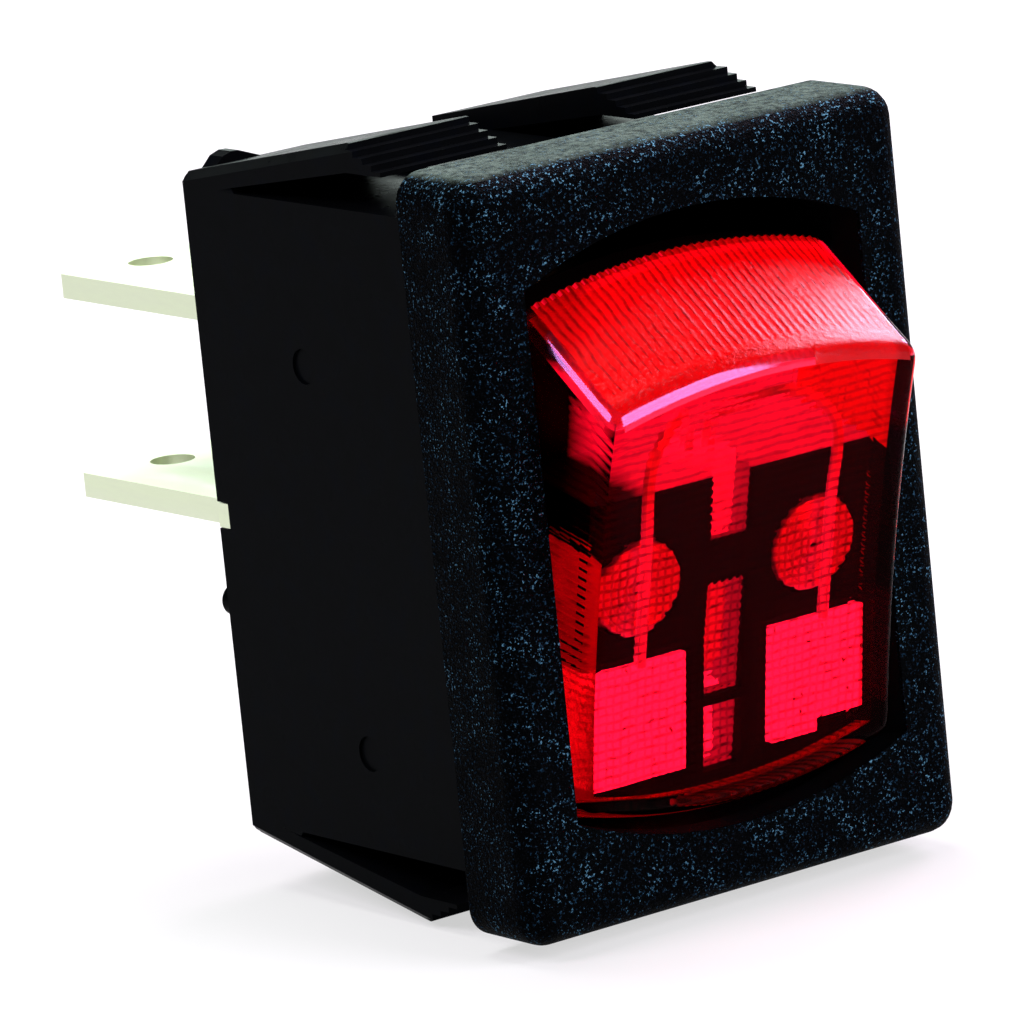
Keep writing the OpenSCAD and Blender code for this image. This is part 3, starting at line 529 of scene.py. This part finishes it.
def cap(inset, nx, nz, nd, flute=0.0, grid=0.0, rib=0.0):
    """Open box of the rocker's form, as one welded grid: the face, both ends and both sides.

    inset moves it inwards; nx, nz and nd are its steps across, up and deep. flute, grid and
    rib are the depths of the waves in its walls, over its face and along its ends.
    """
    half = ROCKER_W / 2 - inset
    index, verts = {}, []

    def vertex(key, point):
        if key not in index:
            index[key] = len(verts)
            verts.append(point)
        return index[key]

    def spread(n, end):
        """n + 1 places from -1 to 1, with a plain strip of width end at either side."""
        return [-1] + [(1 - end) * (2 * i / (n - 2) - 1) for i in range(n - 1)] + [1]

    def wave(t, length):
        """0 to 1 and back in one pitch, fading out towards length."""
        fade = max(0, min(1, (length - abs(t)) / FADE))
        return (0.5 - 0.5 * math.cos(2 * math.pi * t / PITCH)) * fade

    xs = [half * u for u in spread(nx, MARGIN / half)]
    vs = spread(nz, MARGIN / FACE_HALF)
    ts = [0] + [FIRST_STEP + (1 - FIRST_STEP) * k / (nd - 1) for k in range(nd)]
    crests = [crest(x, inset) for x in xs]

    def on_face(i, j):
        if i in (0, nx) or j in (0, nz):
            return on_wall(i, j, 0)
        z = vs[j] * crests[i][1]
        y = face_y(z, inset)
        y += grid * (wave(z, crests[i][1]) + UPRIGHT_SHARE * wave(xs[i], half))
        return vertex(("face", i, j), (xs[i], y, z))

    def on_wall(i, j, k):
        """i runs across, j up, and k from the crest (0) to the rim (nd)."""
        x, t = xs[i], ts[k]
        if j in (0, nz):
            y = crests[i][0] + t * (-RIM_D - crests[i][0])
            z = end_z(x, y, inset)
            if 0 < i < nx:
                ribs = rib * min(1, max(0, (t - RIBS_START) / RIBS_LEAD))
                notches = NOTCH_D * max(0, (t - NOTCHES_START) / (1 - NOTCHES_START)) if rib else 0
                flutes = flute if k else 0
                z -= (flutes + ribs + notches) * wave(x, half)
            return vertex(("wall", i, j, k), (x, y, z if j else -z))
        if k == 0 and 0 < i < nx:
            return on_face(i, j)
        z = vs[j] * crests[i][1]
        y = face_y(z, inset)
        y += t * (-RIM_D - y)
        if k:
            height = end_z(x, y, inset)
            z = vs[j] * height
            x -= math.copysign(flute * wave(z, height), x)
        return vertex(("wall", i, j, k), (x, y, z))

    faces = []
    for i in range(nx):
        for j in range(nz):
            faces.append([on_face(i, j), on_face(i + 1, j),
                          on_face(i + 1, j + 1), on_face(i, j + 1)])
    for k in range(nd):
        for i in range(nx):
            faces.append([on_wall(i, 0, k + 1), on_wall(i + 1, 0, k + 1),
                          on_wall(i + 1, 0, k), on_wall(i, 0, k)])
            faces.append([on_wall(i, nz, k), on_wall(i + 1, nz, k),
                          on_wall(i + 1, nz, k + 1), on_wall(i, nz, k + 1)])
        for j in range(nz):
            faces.append([on_wall(0, j, k), on_wall(0, j + 1, k),
                          on_wall(0, j + 1, k + 1), on_wall(0, j, k + 1)])
            faces.append([on_wall(nx, j, k + 1), on_wall(nx, j + 1, k + 1),
                          on_wall(nx, j + 1, k), on_wall(nx, j, k)])
    return verts, faces


def rim_order(edges):
    """Vertices of a closed boundary, in order, starting at the lower left corner."""
    near = {}
    for e in edges:
        for a, b in (e.verts, reversed(e.verts)):
            near.setdefault(a, []).append(b)
    loop = [min(near, key=lambda v: v.co.x + v.co.z)]
    following = max(near[loop[0]], key=lambda v: v.co.z)
    while following is not loop[0]:
        loop.append(following)
        following = next(v for v in near[following] if v is not loop[-2])
    return loop


def join_rims(bm, a, b):
    """Strip of triangles between two closed loops that start and turn alike."""
    def marks(loop):
        total, out = 0.0, [0.0]
        for k, v in enumerate(loop):
            total += (loop[(k + 1) % len(loop)].co - v.co).length
            out.append(total)
        return [mark / total for mark in out]

    marks_a, marks_b = marks(a), marks(b)
    i = j = 0
    while i < len(a) or j < len(b):
        p, q = a[i % len(a)], b[j % len(b)]
        if j >= len(b) or (i < len(a) and marks_a[i + 1] <= marks_b[j + 1]):
            i += 1
            bm.faces.new([p, a[i % len(a)], q])
        else:
            j += 1
            bm.faces.new([p, b[j % len(b)], q])


def is_corner(e):
    """True on the outside's sharp edges: the two crests, and the face's and walls' side edges."""
    if len(e.link_faces) != 2 or e.calc_face_angle() <= EDGE_ANGLE:
        return False
    a, b = (v.co for v in e.verts)
    beside = abs(a.x) > SIDE_X and abs(b.x) > SIDE_X
    exposed = min(a.y, b.y) < DISH - CREST_D + NEAR or a.y != b.y
    return (beside and exposed) or min(abs(a.z), abs(b.z)) > END_Z


def lens_part(f, bevelled):
    """Which material a face of the lens has, by its place and direction."""
    n, c = f.normal, f.calc_center_median()
    if bevelled and c.z > END_Z and abs(c.x) < SIDE_X - CREST_END:
        if n.z < 0.2:
            return "lens"
        return "ribbed" if n.z > 0.82 or c.x > 1.5 else "edge"
    if bevelled and n.z < 0.3:
        return "edge" if n.x > 0.7 and c.z > -0.8 else "lens"
    if bevelled:
        return "edge"
    inside = abs(c.x) < SIDE_X - WALL / 2 and c.y > face_y(c.z) + WALL / 2
    # Inner faces of the right wall's upper part get a painted glow, and the lower left wall's a
    # dimmer one.
    if inside and n.x < -0.5 and c.z > 2.7:
        return "wall"
    if inside and n.x > 0.5 and c.z < 1.4:
        return "side"
    if abs(n.z) > 0.5 and c.y > 0.2 - CREST_D:
        return "ribbed"
    return "grid" if inside else "lens"


def make_lens():
    """Shell between a bevelled, ribbed outside and a fluted inside, joined along its rim."""
    bm = bmesh.new()

    def add(points, faces, turned=False):
        verts = [bm.verts.new(p) for p in points]
        for f in faces:
            corners = [verts[i] for i in f]
            bm.faces.new(corners[::-1] if turned else corners)

    add(*cap(0, 204, 40, 24, rib=RIB_D))
    bm.normal_update()
    bevel_mark = LENS_MATERIALS.index("edge")
    bmesh.ops.bevel(bm, geom=[e for e in bm.edges if is_corner(e)], offset=EDGE_BEVEL,
                    segments=6, profile=0.5, affect="EDGES", material=bevel_mark)
    outer_rim = rim_order([e for e in bm.edges if e.is_boundary])
    outside = set(bm.verts)
    add(*cap(WALL, 184, 192, 8, flute=FLUTE_D, grid=GRID_D), turned=True)
    inner_rim = rim_order([e for e in bm.edges if e.is_boundary and e.verts[0] not in outside])
    join_rims(bm, outer_rim, inner_rim)
    bmesh.ops.recalc_face_normals(bm, faces=bm.faces)
    if bm.calc_volume(signed=True) < 0:
        bmesh.ops.reverse_faces(bm, faces=bm.faces)
    bm.normal_update()
    for f in bm.faces:
        f.material_index = LENS_MATERIALS.index(lens_part(f, f.material_index == bevel_mark))

    mesh = bpy.data.meshes.new("lens_shell")
    bm.transform(TO_REST)
    bm.to_mesh(mesh)
    bm.free()
    o = finish_mesh("lens_shell", mesh, LENS_MATERIALS, 40)
    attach(o, "rocker")
    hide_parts("rocker_lens")


# ---------------------------------------------------------------- springs

def tube(path, r, sides):
    """Vertices and faces of a round wire along a path, with closed ends."""
    points = [Vector(p) for p in path]
    n = len(points)
    verts, faces = [], []
    across = None
    for i, p in enumerate(points):
        along = (points[min(i + 1, n - 1)] - points[max(i - 1, 0)]).normalized()
        if across is None:
            across = along.orthogonal().normalized()
        across = (across - along * across.dot(along)).normalized()
        up = along.cross(across)
        for k in range(sides):
            a = 2 * math.pi * k / sides
            verts.append(p + r * (math.cos(a) * across + math.sin(a) * up))
    for i in range(n - 1):
        for k in range(sides):
            a, b = i * sides + k, i * sides + (k + 1) % sides
            faces.append([a, b, b + sides, a + sides])
    faces.append(list(range(sides))[::-1])
    faces.append([(n - 1) * sides + k for k in range(sides)])
    return verts, faces


def make_spring(side_name, side):
    """Coil spring whose front end is wound into a flat spiral that the lamp's lead crosses."""
    spiral = SPIRAL_TURNS * STEPS_PER_TURN
    flat = spiral + round(FLAT_TURNS * STEPS_PER_TURN)
    coil = COIL_TURNS * STEPS_PER_TURN
    path = []
    for i in range(flat + coil + 1):
        a = i / STEPS_PER_TURN * 2 * math.pi
        r = SPIRAL_R + (COIL_R - SPIRAL_R) * min(1, i / spiral)
        y = SPIRAL_Y + FLAT_RISE * max(0, min(i, flat) - spiral)
        y += (COIL_REAR_Y - y) * max(0, i - flat) / coil
        path.append((side * (POLE_X + r * math.cos(a)), y, r * math.sin(a)))
    verts, faces = tube(path, WIRE_R, 8)
    mesh = bpy.data.meshes.new("coil_spring_" + side_name)
    mesh.from_pydata([TO_REST @ v for v in verts], [], faces)
    o = finish_mesh("coil_spring_" + side_name, mesh, ["spring"], 60)
    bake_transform(o)
    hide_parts("plunger_spring_" + side_name)


# ---------------------------------------------------------------- stage

# Name, direction from the part, distance and size in metres, watts, colour
LIGHTS = (
    ("right", (0.80, 0.22, 0.55), 0.40, (0.20, 0.18), 2.0, (0.98, 0.78, 1.0)),
    ("front", (0.36, -0.84, 0.42), 0.45, (0.22, 0.36), 3.2, (0.96, 0.90, 1.0)),
    ("left", (-0.64, 0.07, 0.76), 0.45, (0.20, 0.22), 1.6, (0.95, 0.88, 1.0)),
    ("top", (0.05, 0.35, 0.95), 0.45, (0.30, 0.22), 2.2, (0.98, 1.0, 0.97)),
    ("back", (0.50, 0.85, 0.20), 0.60, (0.55, 0.16), 0.9, (0.86, 1.0, 0.95)),
)
SKY = (0.95, 1.0, 0.985, 1)
SKY_STRENGTH = 0.14
FLOOR_HALF = 4
FLOOR_GAP = 0.0001


def make_light(name, direction, distance, size, watts, color):
    towards = Vector(direction).normalized()
    data = bpy.data.lights.new(name, "AREA")
    data.shape = "RECTANGLE"
    data.size, data.size_y = size
    data.energy = watts
    data.color = color
    o = bpy.data.objects.new(name, data)
    bpy.context.scene.collection.objects.link(o)
    o.location = towards * distance
    o.rotation_euler = (-towards).to_track_quat("-Z", "Y").to_euler()


def make_stage():
    """Floor, sky and lights."""
    bm = bmesh.new()
    bmesh.ops.create_grid(bm, x_segments=2, y_segments=2, size=FLOOR_HALF)
    mesh = bpy.data.meshes.new("floor")
    bm.to_mesh(mesh)
    bm.free()
    floor = bpy.data.objects.new("floor", mesh)
    bpy.context.scene.collection.objects.link(floor)
    floor.location.z = cad_low.z - FLOOR_GAP
    mesh.materials.append(floor_material())

    world = bpy.data.worlds.new("studio")
    bpy.context.scene.world = world
    world.use_nodes = True
    background = world.node_tree.nodes["Background"]
    background.inputs["Color"].default_value = SKY
    background.inputs["Strength"].default_value = SKY_STRENGTH
    for light in LIGHTS:
        make_light(*light)
    bpy.context.scene.view_settings.view_transform = "Standard"


# Materials of the CAD nodes, for the paired nodes without their _left or _right
PAIRED = {
    "lamp_lead": "wire",
    "lamp_plate": "plate",
    "plunger": "plunger",
    "plunger_spring": "spring",
    "contact_lever": "lever",
    "moving_contact": "contact",
    "fixed_contact": "contact",
    "load_terminal": "terminal",
    "common_terminal": "terminal",
}
SINGLE = {
    "housing": "housing",
    "rocker_lens": "lens",
    "rocker_carrier": "carrier",
    "lamp_tube": "glass",
    "lamp_resistor": "resistor",
}

make_camera()
make_lens()
for side_name, side in (("left", -1), ("right", 1)):
    make_spring(side_name, side)
    for node_name, key in PAIRED.items():
        dress(f"{node_name}_{side_name}", key)
for node_name, key in SINGLE.items():
    dress(node_name, key)
make_stage()
